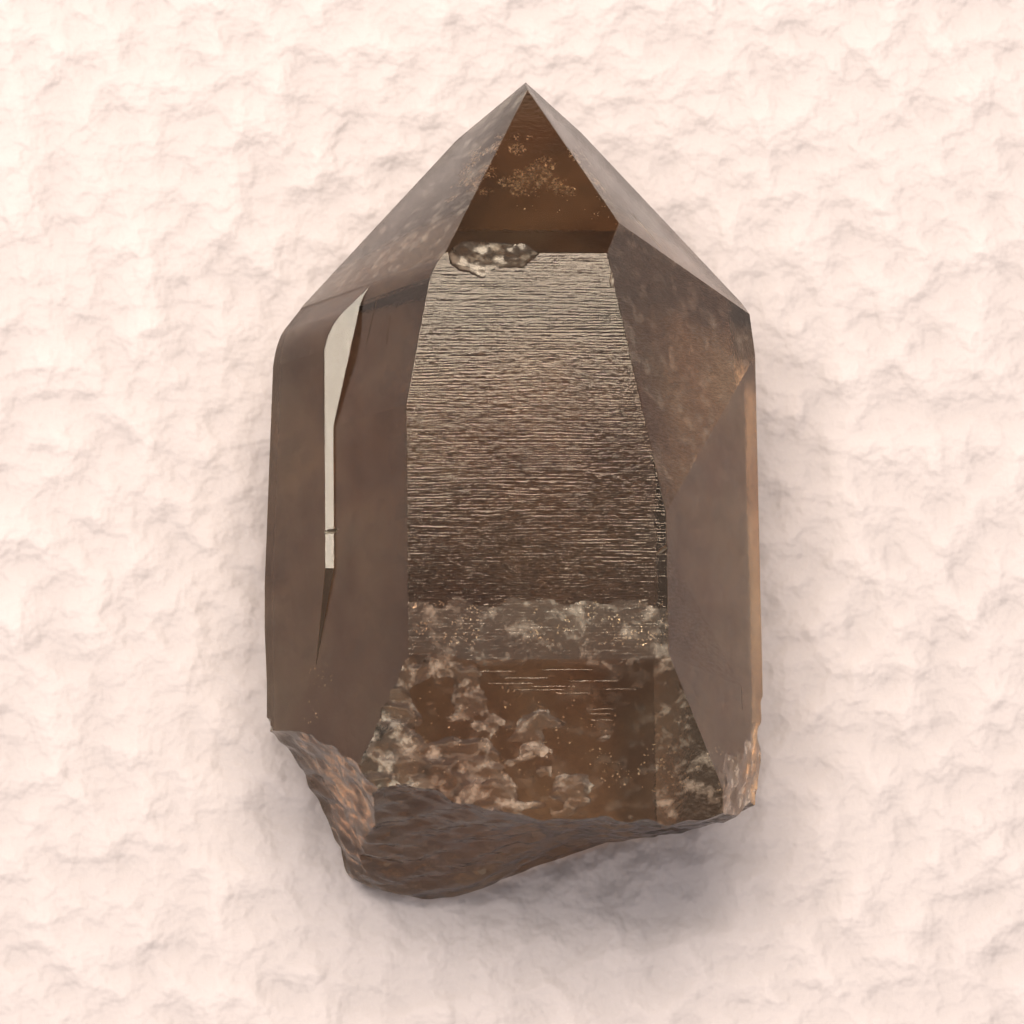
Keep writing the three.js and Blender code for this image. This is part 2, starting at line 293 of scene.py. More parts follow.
def unevenness(u, v, salt):
    """Values between -1 and 1 that change smoothly over a distance of one unit."""

    def knot(i, j):
        step_i, step_j, step_salt = KNOT_STEPS
        s = np.sin(i * step_i + j * step_j + salt * step_salt) * KNOT_SPREAD
        return 2 * (s - np.floor(s)) - 1

    i, j = np.floor(u), np.floor(v)
    fu, fv = u - i, v - j
    fu, fv = fu * fu * (3 - 2 * fu), fv * fv * (3 - 2 * fv)
    low = knot(i, j) * (1 - fu) + knot(i + 1, j) * fu
    high = knot(i, j + 1) * (1 - fu) + knot(i + 1, j + 1) * fu
    return low * (1 - fv) + high * fv


# Finer lumps on a broken surface: share of its roughness, how much finer, and their salt
FINE_LUMPS = (0.4, 2.3, 9)
# Grain on a broken surface: share of its grain, waves per millimetre across and up, and salt
GRAIN_LAYERS = ((0.2, 0.9, 1.3, 21), (0.07, 2.4, 2.9, 33))


def relief(u, v, spec):
    """Height of a broken surface above its mean plane."""
    height = np.zeros_like(u)
    for at_u, at_v, reach_u, reach_v, rise in spec.get("swells", []):
        height += rise * np.exp(-(((u - at_u) / reach_u) ** 2) - ((v - at_v) / reach_v) ** 2)
    if "ripples" in spec:
        from_u, from_v, pitch, rise = spec["ripples"]
        height += rise * np.sin(2 * np.pi * np.hypot(u - from_u, v - from_v) / pitch)
    lump, rough, salt = spec["lump"], spec["rough"], spec["salt"]
    height += rough * unevenness(u / lump, v / lump, salt)
    part, finer, extra = FINE_LUMPS
    height += part * rough * unevenness(finer * u / lump, finer * v / lump, salt + extra)
    for part, across, up, extra in GRAIN_LAYERS:
        height += part * spec["grain"] * unevenness(across * u, up * v, salt + extra)
    return height


def facing(azimuth, lean, origin):
    """Axes lying in a face: across it, up it towards the tip, and straight out of it."""
    out = Vector(outward(azimuth, lean))
    a = math.radians(azimuth)
    across = Vector((math.cos(a), 0, -math.sin(a)))
    up = out.cross(across)
    axes = Matrix((across, up, out)).transposed().to_4x4()
    axes.translation = Vector(origin)
    return axes


# How the front slope leans, and where it starts
SLOPE_LEAN = -38.2
SLOPE_TOP = (0, -48.55, 14.8)

# Broken surfaces: a point on each, the way it faces in degrees, its size and cells in millimetres,
# the height and width of its lumps, its grain, and how frosted and stained it is. A swell has its
# place, its reach and its height, and ripples have their middle, pitch and height.
BREAKS = {
    "front_slope": {
        "at": SLOPE_TOP, "azimuth": 0, "lean": SLOPE_LEAN, "wide": 56, "high": 40,
        "cell": 0.5, "rough": 0.0, "lump": 1.0, "salt": 0, "grain": 0.03, "frost": 0.12,
    },
    "lumpy_slope": {
        "at": (-8.5, -48.9, 14.65), "azimuth": -3.8, "lean": -41, "wide": 36, "high": 30,
        "cell": 0.3, "rough": 0.4, "lump": 2.6, "salt": 3, "grain": 1.0, "frost": 0.65,
        "swells": [(-1.5, -7.5, 2.6, 2.2, 0.5)],
    },
    "corner_facet": {
        "at": (8.4, -54.1, 10.3), "azimuth": 15.5, "lean": -36.3, "wide": 50, "high": 40,
        "cell": 0.6, "rough": 0.0, "lump": 1.0, "salt": 0, "grain": 0.03, "frost": 0.65,
        "stain": 0.4,
    },
    "edge_chip": {
        "at": (-3.3, -18.95, 14.42), "azimuth": -4, "lean": 18, "wide": 8, "high": 9,
        "cell": 0.12, "rough": 0.08, "lump": 0.9, "salt": 17, "grain": 0.4, "frost": 0.6,
        "stain": 0.4,
        "swells": [
            (-4.0, 0, 0.9, 4, 0.7), (4.0, 0, 1.2, 4, 0.7), (1.8, 0.4, 0.9, 0.7, -0.2),
            (-1.8, -0.5, 1.2, 0.8, 0.15),
        ],
    },
    "broken_end": {
        "at": (0, -58.88, 0), "azimuth": 0, "lean": -90, "wide": 52, "high": 44,
        "cell": 0.36, "rough": 0.28, "lump": 3.4, "salt": 5, "grain": 0.6, "frost": 0.2,
        "stain": 0.95,
        "swells": [
            (-7, -13, 9, 9, 4.7), (-10, 7, 5, 5, -2.0), (7, 5, 6, 5, 0.6), (17, -2, 2, 14, -1.6),
        ],
        "ripples": (-16, 10, 3.1, 0.1),
    },
    "left_hollow": {
        "at": (-16.4, -55.6, -3), "azimuth": -78.8, "lean": -37.4, "wide": 44, "high": 34,
        "cell": 0.36, "rough": 0.26, "lump": 2.8, "salt": 7, "grain": 0.5, "frost": 0.45,
        "stain": 1.0,
        "swells": [(0, -0.5, 16, 5.5, -1.1), (-1, 6, 5, 2.2, 0.8)],
        "ripples": (4, 14, 2.7, 0.08),
    },
    "right_lobe": {
        "at": (12.63, -57.04, 7.6), "azimuth": 65, "lean": -8.3, "wide": 30, "high": 14,
        "cell": 0.36, "rough": 0.16, "lump": 2.4, "salt": 11, "grain": 0.5, "frost": 0.85,
    },
}

# Chips out of the edges: place, half sizes, turn about Z in degrees
CHIPS = [
    ((19.1, -52.2, -0.4), (2.3, 3.6, 3.4), 4),
    ((4.95, -20.7, 15.05), (0.3, 1.0, 0.36), -8),
    ((8.3, -40.6, 14.95), (0.75, 0.22, 0.3), 35),
    ((9.0, -48.4, 14.9), (0.45, 0.4, 0.3), -30),
    ((-20.4, -51.6, -2.2), (0.8, 1.1, 1.6), 0),
    ((-15.4, -37.85, 6.2), (0.9, 0.2, 0.4), 4),
]
LARGE_CHIP = 1.5
CHIP_UNEVENNESS = 0.2
CHIP_SALT = 41

# Slits that follow the edges of the right tip face, the left steep face and the right face:
# azimuth, lean, distance, from, to, width, depth
SLITS = [
    (SIXTH_TURN, TIP_LEAN, TIP["right"], (7.3, -13.6, 6.1), (9.5, -16.8, 7.2), 0.22, 0.12),
    (SIXTH_TURN, TIP_LEAN, TIP["right"], (11.3, -19.8, 9.0), (12.4, -20.9, 8.7), 0.2, 0.1),
    (-SIXTH_TURN, STEEP_LEAN, STEEP["left"], (-12.8, -24.4, 8.3), (-11.9, -20.7, 8.6), 0.2, 0.08),
    (-SIXTH_TURN, STEEP_LEAN, STEEP["left"], (-11.4, -24.9, 10.9), (-11.0, -22.5, 10.7), 0.2, 0.08),
    (SIXTH_TURN, 0, PRISM["right"], (15.2, -49.0, 3.2), (15.3, -51.0, 3.1), 0.12, 0.06),
    (SIXTH_TURN, 0, PRISM["right"], (15.4, -53.2, 2.9), (15.3, -55.4, 3.0), 0.12, 0.06),
]
SLIT_PROUD = 0.06
SLIT_TAPER = 0.12

# Level scratches on the front slope: left end, right end, level
SLOPE_SCRATCHES = [
    (2.7, 4.9, -51.81), (2.9, 4.7, -52.14), (3.1, 4.85, -52.54), (-2.75, 1.5, -50.53),
    (-1.6, 2.2, -50.3), (-4.6, -0.9, -50.1), (0.3, 3.3, -50.75), (-3.6, 0.2, -49.75),
    (1.2, 5.2, -49.95), (-5.6, -2.2, -49.3), (-0.8, 3.4, -49.2), (3.8, 6.6, -50.5),
]
SCRATCH_WIDTH = 0.15
SCRATCH_DEPTH = 0.055


def break_cutter(name, spec):
    """Everything outside a broken surface, as one closed object."""
    columns = int(spec["wide"] / spec["cell"])
    rows = int(spec["high"] / spec["cell"])
    us = np.linspace(-spec["wide"] / 2, spec["wide"] / 2, columns + 1)
    vs = np.linspace(-spec["high"] / 2, spec["high"] / 2, rows + 1)
    u, v = np.meshgrid(us, vs)
    w = relief(u, v, spec)
    bm = bmesh.new()
    grid = [
        [bm.verts.new((u[j, i], v[j, i], w[j, i])) for i in range(columns + 1)]
        for j in range(rows + 1)
    ]
    for j in range(rows):
        for i in range(columns):
            bm.faces.new((grid[j][i], grid[j + 1][i], grid[j + 1][i + 1], grid[j][i + 1]))
    rim = [e for e in bm.edges if e.is_boundary]
    raised = bmesh.ops.extrude_edge_only(bm, edges=rim)["geom"]
    for vert in raised:
        if isinstance(vert, bmesh.types.BMVert):
            vert.co.z = CUTTER_THICKNESS
    bmesh.ops.contextual_create(bm, geom=[e for e in bm.edges if e.is_boundary])
    bmesh.ops.recalc_face_normals(bm, faces=bm.faces[:])
    bmesh.ops.triangulate(bm, faces=[f for f in bm.faces if len(f.verts) == 4])
    bm.transform(facing(spec["azimuth"], spec["lean"], spec["at"]))
    return object_from(bm, name)


def chip_cutter(place, half, turn):
    bm = bmesh.new()
    finer = max(half) > LARGE_CHIP
    bmesh.ops.create_icosphere(bm, subdivisions=4 if finer else 2, radius=1.0)
    points = np.array([v.co for v in bm.verts])
    uneven = unevenness(3 * points[:, 0] + points[:, 2], 3 * points[:, 1], CHIP_SALT)
    bump = 1 + CHIP_UNEVENNESS * uneven
    for vert, grow in zip(bm.verts, bump):
        vert.co *= grow
    bm.transform(Matrix.Diagonal((*half, 1)))
    bm.transform(Matrix.Rotation(math.radians(turn), 4, "Z"))
    bm.transform(Matrix.Translation(place))
    return object_from(bm, "chip")


def slope_scratches():
    """The level scratches as slits, each with its wide flank towards the tip."""
    out = outward(0, SLOPE_LEAN)
    distance = float(out @ np.array(SLOPE_TOP))
    slits = []
    for left, right, level in SLOPE_SCRATCHES:
        height = (distance - out[1] * level) / out[2]
        ends = (right, level, height), (left, level, height)
        slits.append((0, SLOPE_LEAN, distance, *ends, SCRATCH_WIDTH, SCRATCH_DEPTH))
    return slits


def slit_cutter(azimuth, lean, distance, start, stop, width, depth):
    """A shallow tapering wedge that stands a little out of the face it cuts."""
    axes = facing(azimuth, lean, outward(azimuth, lean) * distance)
    a = (axes.inverted() @ Vector(start)).to_2d()
    b = (axes.inverted() @ Vector(stop)).to_2d()
    side = Vector((a.y - b.y, b.x - a.x)).normalized() * width / 2
    taper = (b - a) * SLIT_TAPER
    points = [(*p, SLIT_PROUD) for p in (a + side, a - side, b + side, b - side)]
    points += [(*(p - side / 2), -depth) for p in (a + taper, b - taper)]
    bm = bmesh.new()
    for point in points:
        bm.verts.new(axes @ Vector(point))
    bmesh.ops.convex_hull(bm, input=bm.verts[:])
    return object_from(bm, "slit")


# Growth lines: lengths and widths in millimetres, and shares of the full depth
LINE_STRAY = 0.7  # how far a line wanders, in lines
STRAY_SIZE = (5, 1.1)
LINE_LENGTH = 0.9
FINE_SHARE = 0.7
STRONG_LENGTH = 1.5
STRONG_WIDTH = 1.2  # in lines
STRONG_ABOVE = 0.15
STRONG_SHARE = 0.5
PATCH_SIZE = (5, 4)
PATCH_DEPTH = (0.8, 0.4)


def groove_height(u, v, depth, spacing, salt):
    """Depth below a prism face of broken level growth lines, never above it."""
    stray = unevenness(u / STRAY_SIZE[0], v / STRAY_SIZE[1], salt + 2)
    row = v / spacing + LINE_STRAY * stray
    wave = 0.5 + 0.5 * np.sin(2 * np.pi * row)
    fade = 0.5 + 0.5 * unevenness(u / LINE_LENGTH, 2 * row, salt)
    bold = unevenness(u / STRONG_LENGTH, v / (STRONG_WIDTH * spacing), salt + 5)
    strong = np.clip(bold - STRONG_ABOVE, 0, 1)
    mean, swing = PATCH_DEPTH
    patch = mean + swing * unevenness(u / PATCH_SIZE[0], v / PATCH_SIZE[1], salt + 8)
    return -depth * np.clip((FINE_SHARE * wave * fade + STRONG_SHARE * strong) * patch, 0, 1)


# Prism faces that carry growth lines: place of the face, cell sizes in millimetres, how much
# coarser than the front face's lines, and the salt of their unevenness
LINED_FACES = (
    {
        "azimuth": 0, "distance": PRISM["front"],
        "across_step": 0.35, "level_step": 0.05, "coarse": 1, "salt": 51,
    },
    {
        "azimuth": -2 * SIXTH_TURN, "distance": PRISM["back_left"],
        "across_step": 0.8, "level_step": 0.2, "coarse": 2, "salt": 61,
    },
    {
        "azimuth": 2 * SIXTH_TURN, "distance": PRISM["back_right"],
        "across_step": 0.8, "level_step": 0.2, "coarse": 2, "salt": 71,
    },
)


def flat_on(bm, normal, distance):
    """The mesh's faces that lie in one flat face of the crystal."""
    return [
        f
        for f in bm.faces
        if f.normal.dot(normal) > SAME_DIRECTION
        and abs(f.calc_center_median().dot(normal) - distance) < IN_PLANE
    ]


# A worn edge beside a face: the cosines of its least and greatest lean, and how narrow it is
WORN_LEAN = (0.6, 0.999)
WORN_NARROWNESS = 0.12


def with_worn_edges(faces, normal):
    """The faces and the narrow strips of worn edge beside them."""
    least, most = WORN_LEAN
    found = dict.fromkeys(faces)
    for _ in range(EDGE_SEGMENTS):
        beside = [g for f in found for e in f.edges for g in e.link_faces if g not in found]
        for g in beside:
            narrow = g.calc_area() < WORN_NARROWNESS * g.calc_perimeter()
            if narrow and least < g.normal.dot(normal) < most:
                found[g] = None
    return list(found)


def elements_of(faces):
    edges = dict.fromkeys(e for f in faces for e in f.edges)
    verts = dict.fromkeys(v for f in faces for v in f.verts)
    return [*faces, *edges, *verts]


def slice_levels(bm, geom, plane, low, high, step):
    """Cuts the elements into strips of one width, from low to high along plane."""
    for k in range(1, int((high - low) / step)):
        cut = {"plane_co": plane * (low + k * step), "plane_no": plane, "dist": CUT_TOLERANCE}
        geom = bmesh.ops.bisect_plane(bm, geom=geom, **cut)["geom"]


def line_face(bm, shape, azimuth, distance, across_step, level_step, coarse, salt):
    """Cuts a prism face into a fine grid and sinks broken growth lines into it."""
    normal = Vector(outward(azimuth, 0))
    long_axis = Vector((0, 1, 0))
    across = long_axis.cross(normal)
    faces = dict.fromkeys(flat_on(bm, normal, distance))
    edges = dict.fromkeys(e for f in faces for e in f.edges)
    shared = [e for e in edges if all(g in faces for g in e.link_faces)]
    bmesh.ops.dissolve_edges(bm, edges=shared, use_verts=True)
    faces = flat_on(bm, normal, distance)
    verts = {v for f in faces for v in f.verts}
    reach = [v.co.dot(across) for v in verts]
    level = [v.co.y for v in verts]
    slice_levels(bm, elements_of(faces), across, min(reach), max(reach), across_step)
    geom = elements_of(with_worn_edges(flat_on(bm, normal, distance), normal))
    slice_levels(bm, geom, long_axis, min(level), max(level), level_step)
    sunk = list(dict.fromkeys(v for f in flat_on(bm, normal, distance) for v in f.verts))
    u = np.array([v.co.dot(across) for v in sunk])
    level = np.array([v.co.y for v in sunk])
    drops = groove_height(u, level, shape.line_depth, coarse * shape.line_spacing, salt)
    for vert, drop in zip(sunk, drops):
        vert.co += normal * float(drop)


def place_in_frame():
    """Shift from the crystal's own axis, in millimetres, to the CAD part's frame."""
    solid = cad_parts["crystal"].data
    points = np.empty(len(solid.vertices) * 3, np.float32)
    solid.vertices.foreach_get("co", points)
    points = points.reshape(-1, 3).astype(float) / MM
    known = [
        face_at(180, 0, PRISM["back"]),
        face_at(SIXTH_TURN, 0, PRISM["right"]),
        face_at(SIXTH_TURN, TIP_LEAN, TIP["right"]),
    ]
    normals = np.array([n for n, _ in known])
    gaps = np.array([(points @ n).max() - d for n, d in known])
    return Vector(np.linalg.solve(normals, gaps))


def crystal_mesh(shape):
    """The two grown crystals joined, with every break, chip, slit and scratch cut away."""
    body = convex_object("crystal_body", main_faces(), shape.edge_width)
    ledge = convex_object("crystal_ledge", parallel_faces(), shape.edge_width)
    combine(body, ledge, "UNION")
    for name, spec in BREAKS.items():
        combine(body, break_cutter(name, spec), "DIFFERENCE")
    for place, half, turn in CHIPS:
        combine(body, chip_cutter(place, half, turn), "DIFFERENCE")
    for slit in SLITS + slope_scratches():
        combine(body, slit_cutter(*slit), "DIFFERENCE")
    return body


def hull_gap(points):
    """How far each point lies above the unbroken crystal's surface."""
    gaps = []
    for faces in (main_faces(), parallel_faces()):
        normals = np.array([n for n, _ in faces])
        distances = np.array([d for _, d in faces])
        gaps.append((points @ normals.T - distances).max(axis=1))
    return np.minimum(*gaps)


def in_sheet(points, spec):
    """Each point's place in a break's own axes, and its height above the broken surface."""
    axes = np.array(facing(spec["azimuth"], spec["lean"], spec["at"]).inverted())
    local = points @ axes[:3, :3].T + axes[:3, 3]
    inside = (abs(local[:, 0]) < spec["wide"] / 2) & (abs(local[:, 1]) < spec["high"] / 2)
    return inside, local[:, 2] - relief(local[:, 0], local[:, 1], spec)


def lies_on(points, face, reach):
    normal, distance = face
    return abs(points @ normal - distance) < reach


def frosted_faces():
    return [
        (face_at(-SIXTH_TURN, TIP_LEAN, TIP["left"]), TIP_FROST),
        (face_at(SIXTH_TURN, TIP_LEAN, TIP["right"]), TIP_FROST),
        (face_at(SIXTH_TURN, 0, PRISM["right"]), SATIN),
        (face_at(STEEP_RIGHT_AZIMUTH, STEEP_LEAN, STEEP["right"]), STEEP_FROST),
    ]


def break_marks(points, broken):
    """Frost and stain of the broken faces, each as the nearest broken surface gives it."""
    frost = np.where(broken, 1.0, 0.0)
    stain = np.zeros(len(points))
    nearest = np.full(len(points), NEAR_FACE)
    for spec in BREAKS.values():
        inside, height = in_sheet(points, spec)
        closer = broken & inside & (abs(height) < nearest)
        nearest = np.where(closer, abs(height), nearest)
        frost = np.where(closer, spec["frost"], frost)
        stain = np.where(closer, spec.get("stain", 0.0), stain)
    return frost, stain


def surface_marks(bm):
    """Frost (up to 1 where the stone is crushed), stain and fine lines of each face."""
    bm.verts.index_update()
    gaps = hull_gap(np.array([v.co for v in bm.verts]))
    broken = np.array([np.mean([gaps[v.index] for v in f.verts]) for f in bm.faces]) < BROKEN_BELOW
    points = np.array([f.calc_center_median() for f in bm.faces])
    frost, stain = break_marks(points, broken)
    ragged = BAND_RAGGED * unevenness(points[:, 0] / BAND_STEP, points[:, 1] * 0, BAND_SALT)
    foot = points[:, 1] < FROST_BAND_TOP + ragged
    on_front = lies_on(points, face_at(0, 0, PRISM["front"]), NEAR_LINES)
    frost = np.where(on_front & foot, FRONT_FOOT_FROST, frost)
    back_right = face_at(2 * SIXTH_TURN, 0, PRISM["back_right"])
    stain = np.where(lies_on(points, back_right, NEAR_FACE), BACK_STAIN, stain)
    for face, amount in frosted_faces():
        frost = np.where(lies_on(points, face, ON_FACE), amount, frost)
    riser = face_through(LEDGE_FRONT_AZIMUTH, 0, np.array(LEDGE_FOOT))
    lined = np.where(lies_on(points, riser, ON_FACE), RISER_LINES, 0.0)
    lined = np.where(on_front & ~broken & ~foot, 1.0, lined)
    return {"frost": frost, "stain": stain, "lined": lined}


def shade_faces(bm, frost):
    """Smooth shading that stays crisp at the edges of growth faces and at sharp breaks."""
    for face, rough in zip(bm.faces, frost):
        face.smooth = True
        face.tag = ROUGH_BREAK < rough < CRUSHED
    for edge in bm.edges:
        limit = BREAK_CREASE if all(f.tag for f in edge.link_faces) else GROWTH_CREASE
        edge.smooth = edge.calc_face_angle(0.0) < math.radians(limit)


# Small flakes held inside the stone, in beds: middle, half size, how many, flake size range
FLAKE_BEDS = {
    "foot_glints": ((-0.4, -45.9, 14.45), (9.4, 1.6, 0.2), 330, (0.03, 0.13)),
    "slope_flecks": ((-3.0, -53.5, 9.6), (8.0, 3.4, 3.4), 150, (0.03, 0.13)),
    "rim_flecks": ((8.0, -55.5, 7.5), (6.0, 1.6, 3.0), 110, (0.03, 0.15)),
    "ledge_flecks": ((-17.0, -49.5, 3.5), (2.6, 2.2, 2.0), 50, (0.03, 0.12)),
    "tip_specks": ((2.6, -14.6, 9.6), (4.4, 2.0, 1.6), 60, (0.03, 0.1)),
    "tip_veil": ((-0.4, -11.4, 2.2), (3.6, 3.2, 1.2), 700, (0.04, 0.17)),
}
CLUSTER_SIZE = 1.1  # flakes gather in clusters about this far apart
CLUSTER_GAP = -0.05  # and there are none where the unevenness is below this
CLUSTER_SALT = 23
FLAKE_DEPTH = 0.25  # no flake comes nearer to the surface than this
FLAKE_NEAR = 1.1  # and only the veil lies deeper than this
FLAKE_THICKNESS = 0.02
FLAKE_SEED = 7
FLAKE_SIDES = 5
FLAKE_TILT = 0.8
FLAKE_JITTER = 0.3
FLAKE_SQUASH = 0.7
FLAKE_REACH = (0.6, 1.1)
FLAKE_TRIES = 64


def depth_in_stone(points):
    """How far each point lies below the nearest surface; negative outside the stone."""
    depth = -hull_gap(points)
    for spec in BREAKS.values():
        inside, height = in_sheet(points, spec)
        depth = np.where(inside, np.minimum(depth, -height), depth)
    return depth


def add_flake(bm, rng, place, size):
    """One thin irregular plate."""
    tilts = [rng.uniform(-FLAKE_TILT, FLAKE_TILT) for _ in range(2)]
    turn = Euler((*tilts, rng.uniform(0, math.tau))).to_matrix()
    corners = range(FLAKE_SIDES)
    jitter = (-FLAKE_JITTER, FLAKE_JITTER)
    angles = [math.tau * (k + rng.uniform(*jitter)) / FLAKE_SIDES for k in corners]
    rim = [
        Vector((math.cos(a), math.sin(a) * FLAKE_SQUASH, 0)) * size * rng.uniform(*FLAKE_REACH)
        for a in angles
    ]
    lift = Vector((0, 0, FLAKE_THICKNESS / 2))
    top = [bm.verts.new(turn @ (p + lift) + place) for p in rim]
    low = [bm.verts.new(turn @ (p - lift) + place) for p in rim]
    bm.faces.new(top)
    bm.faces.new(low[::-1])
    for k in corners:
        j = (k + 1) % FLAKE_SIDES
        bm.faces.new((top[k], low[k], low[j], top[j]))


def places_in(rng, middle, half):
    return np.array(
        [[m + h * rng.uniform(-1, 1) for m, h in zip(middle, half)] for _ in range(FLAKE_TRIES)]
    )


def flakes_mesh():
    rng = random.Random(FLAKE_SEED)
    bm = bmesh.new()
    for name, (middle, half, count, sizes) in FLAKE_BEDS.items():
        deepest = math.inf if name == "tip_veil" else FLAKE_NEAR
        placed = 0
        while placed < count:
            tries = places_in(rng, middle, half)
            depths = depth_in_stone(tries)
            crowd = unevenness(*(tries[:, :2].T / CLUSTER_SIZE), CLUSTER_SALT)
            for point, depth, near in zip(tries, depths, crowd):
                if FLAKE_DEPTH < depth < deepest and near > CLUSTER_GAP and placed < count:
                    add_flake(bm, rng, Vector(point), rng.uniform(*sizes))
                    placed += 1
    return object_from(bm, "inner_flakes")


def number(name, description, default, **kind):
    return FloatProperty(name=name, description=description, default=default, min=0.0, **kind)


def share(name, description, default):
    return number(name, description, default, max=1.0, subtype="FACTOR")


def colour(name, description, default):
    return FloatVectorProperty(name=name, description=description, default=default, subtype="COLOR")


class QuartzShape(bpy.types.PropertyGroup):
    edge_width: number("Edge Width", "Width of the worn edges, in millimetres", 0.07)
    line_depth: number("Line Depth", "Depth of the growth lines, in millimetres", 0.0105)
    line_spacing: number("Line Spacing", "Distance between growth lines, in millimetres", 0.21)


class QuartzLook(bpy.types.PropertyGroup):
    smoke: colour("Smoke", "Colour left after light passes through", (0.55, 0.45, 0.34))
    smoke_density: number("Smoke Density", "Absorption per metre of stone", 76.0)
    haze_colour: colour("Haze Colour", "Colour of the cloudy part of the stone", (0.95, 0.86, 0.78))
    stain_colour: colour("Stain Colour", "Tint of the stained broken base", (0.38, 0.3, 0.23))
    # Painted shade: this tint darkens streaks along the growth lines, standing in for the shade in
    # their grooves
    painted_line_shade_colour: colour("Dust Colour", "Tint of the dust in the growth lines", (0.74, 0.68, 0.62))
    clearness: share("Clearness", "Share of light that passes through", 0.985)
    frost_clearness: share("Frost Clearness", "Clearness of crushed stone", 0.5)
    face_roughness: share("Face Roughness", "Roughness of the growth faces", 0.08)
    break_roughness: share("Break Roughness", "Roughness of the broken surfaces", 0.28)


class QuartzStage(bpy.types.PropertyGroup):
    floor_colour: colour("Floor Colour", "Colour of the ground", (0.69, 0.66, 0.7))
    sky_strength: number("Sky Strength", "Strength of the all-round light", 0.82)
    window_power: number("Window Power", "Power of the main window light", 3.4, unit="POWER")
    low_power: number("Low Power", "Power of the light by the broken end", 0.42, unit="POWER")
    side_power: number("Side Power", "Power of the small window to the left", 0.6, unit="POWER")


QUARTZ_IOR = 1.544

# Noise patterns: features per metre, levels of detail, roughness
PATTERNS = {
    "cloud": (110.0, 2.0, 0.5),
    "smear": (420.0, 1.0, 0.5),
    "fleck": (700.0, 3.0, 0.65),
    "grain": (2200.0, 2.0, 0.5),
    "streak": (1.0, 1.0, 0.5),
    "flake_patch": (500.0, 2.0, 0.5),
    "ground": (300.0, 3.0, 0.4),
}
STREAK_STRETCH = (1700.0, 11000.0, 1700.0)  # the streaks lie across the crystal

# Noise values between which clouds, the painted shade of the growth lines and flecks grow from none
# to full
CLOUD_RANGE = (0.35, 0.6)
PAINTED_LINE_SHADE_RANGE = (0.46, 0.56)
FLECK_RANGE = (0.5, 0.72)

# What the noise is turned into: shares of frost, gloss and roughness, least and most
FLECK_SHARE = (0.15, 1.6)
FLAKE_GLOSS = (0.15, 0.45)
ROUGHNESS_SPREAD = (0.7, 1.4)

# Colours, and factors that darken or brighten the red, green and blue of one
DEEP_HAZE = (0.8, 0.71, 0.66)
PALE_HAZE = (1.12, 1.12, 1.12)
GOLD_FLAKE = (0.85, 0.62, 0.36, 1)
WHITE_FLAKE = (0.97, 0.92, 0.86, 1)
GROUND_DARK = (0.8, 0.8, 0.8)
GROUND_PALE = (1.08, 1.08, 1.08)

# Bumps: heights in metres and strengths, and the streaks' height as a share of the grain's
GRAIN_HEIGHT = 0.00006
GRAIN_STRENGTH = (0.12, 0.7)
LINED_STRENGTH = 0.1
STREAK_HEIGHT = 0.3
GROUND_HEIGHT = 0.002
GROUND_STRENGTH = 0.8

FLAKE_METAL = 0.25
GROUND_ROUGHNESS = 0.95
GROUND_SPECULAR = 0.2
GROUND_HALF_SIZE = 0.6


def feed(tree, socket, value):
    """Sets a socket, or links it where the value comes from another socket."""
    if isinstance(value, bpy.types.NodeSocket):
        tree.links.new(value, socket)
    else:
        socket.default_value = value


def node(tree, kind, inputs=None, **settings):
    made = tree.nodes.new(kind)
    for name, value in settings.items():
        setattr(made, name, value)
    for name, value in (inputs or {}).items():
        feed(tree, made.inputs[name], value)
    return made


def noise(tree, place, pattern):
    scale, detail, roughness = PATTERNS[pattern]
    inputs = {"Vector": place, "Scale": scale, "Detail": detail, "Roughness": roughness}
    return node(tree, "ShaderNodeTexNoise", inputs).outputs["Fac"]


def remap(tree, value, source=(0.0, 1.0), target=(0.0, 1.0)):
    inputs = {
        "Value": value, "From Min": source[0], "From Max": source[1],
        "To Min": target[0], "To Max": target[1],
    }
    return node(tree, "ShaderNodeMapRange", inputs).outputs["Result"]


def mix(tree, factor, a, b, data_type="RGBA", blend_type="MIX"):
    inputs = {"Factor": factor, "A": a, "B": b}
    made = node(tree, "ShaderNodeMix", inputs, data_type=data_type, blend_type=blend_type)
    return made.outputs["Result"]


def calculate(tree, operation, *values, use_clamp=False):
    settings = {"operation": operation, "use_clamp": use_clamp}
    return node(tree, "ShaderNodeMath", dict(enumerate(values)), **settings).outputs["Value"]


def face_value(tree, name):
    return node(tree, "ShaderNodeAttribute", attribute_name=name).outputs["Fac"]


def shaded(tone, factors=(1, 1, 1)):
    """A colour with its channels multiplied by the factors, and full alpha."""
    return (*[min(1, c * f) for c, f in zip(tone, factors)], 1)


def bumped(tree, height, strength, distance):
    inputs = {"Height": height, "Strength": strength, "Distance": distance}
    return node(tree, "ShaderNodeBump", inputs).outputs["Normal"]


def new_material(name):
    """A material, its nodes, its shader's sockets and the place on the object."""
    material = bpy.data.materials.new(name)
    material.use_nodes = True
    tree = material.node_tree
    place = node(tree, "ShaderNodeTexCoord").outputs["Object"]
    return material, tree, tree.nodes["Principled BSDF"].inputs, place


def quartz_colour(tree, place, look, painted_line_shade):
    """Clouded stone, darker where it is stained, and with painted shade streaked along the growth
    lines.
    """
    cloud = remap(tree, noise(tree, place, "cloud"), CLOUD_RANGE)
    deep, pale = shaded(look.haze_colour, DEEP_HAZE), shaded(look.haze_colour, PALE_HAZE)
    clouded = mix(tree, cloud, deep, pale)
    stain = face_value(tree, "stain")
    stained = mix(tree, stain, clouded, shaded(look.stain_colour), blend_type="MULTIPLY")
    return mix(tree, painted_line_shade, stained, shaded(look.painted_line_shade_colour), blend_type="MULTIPLY")


def quartz_roughness(tree, place, look, frost):
    smooth = [look.face_roughness * spread for spread in ROUGHNESS_SPREAD]
    smear = remap(tree, noise(tree, place, "smear"), target=smooth)
    return mix(tree, frost, smear, look.break_roughness, data_type="FLOAT")


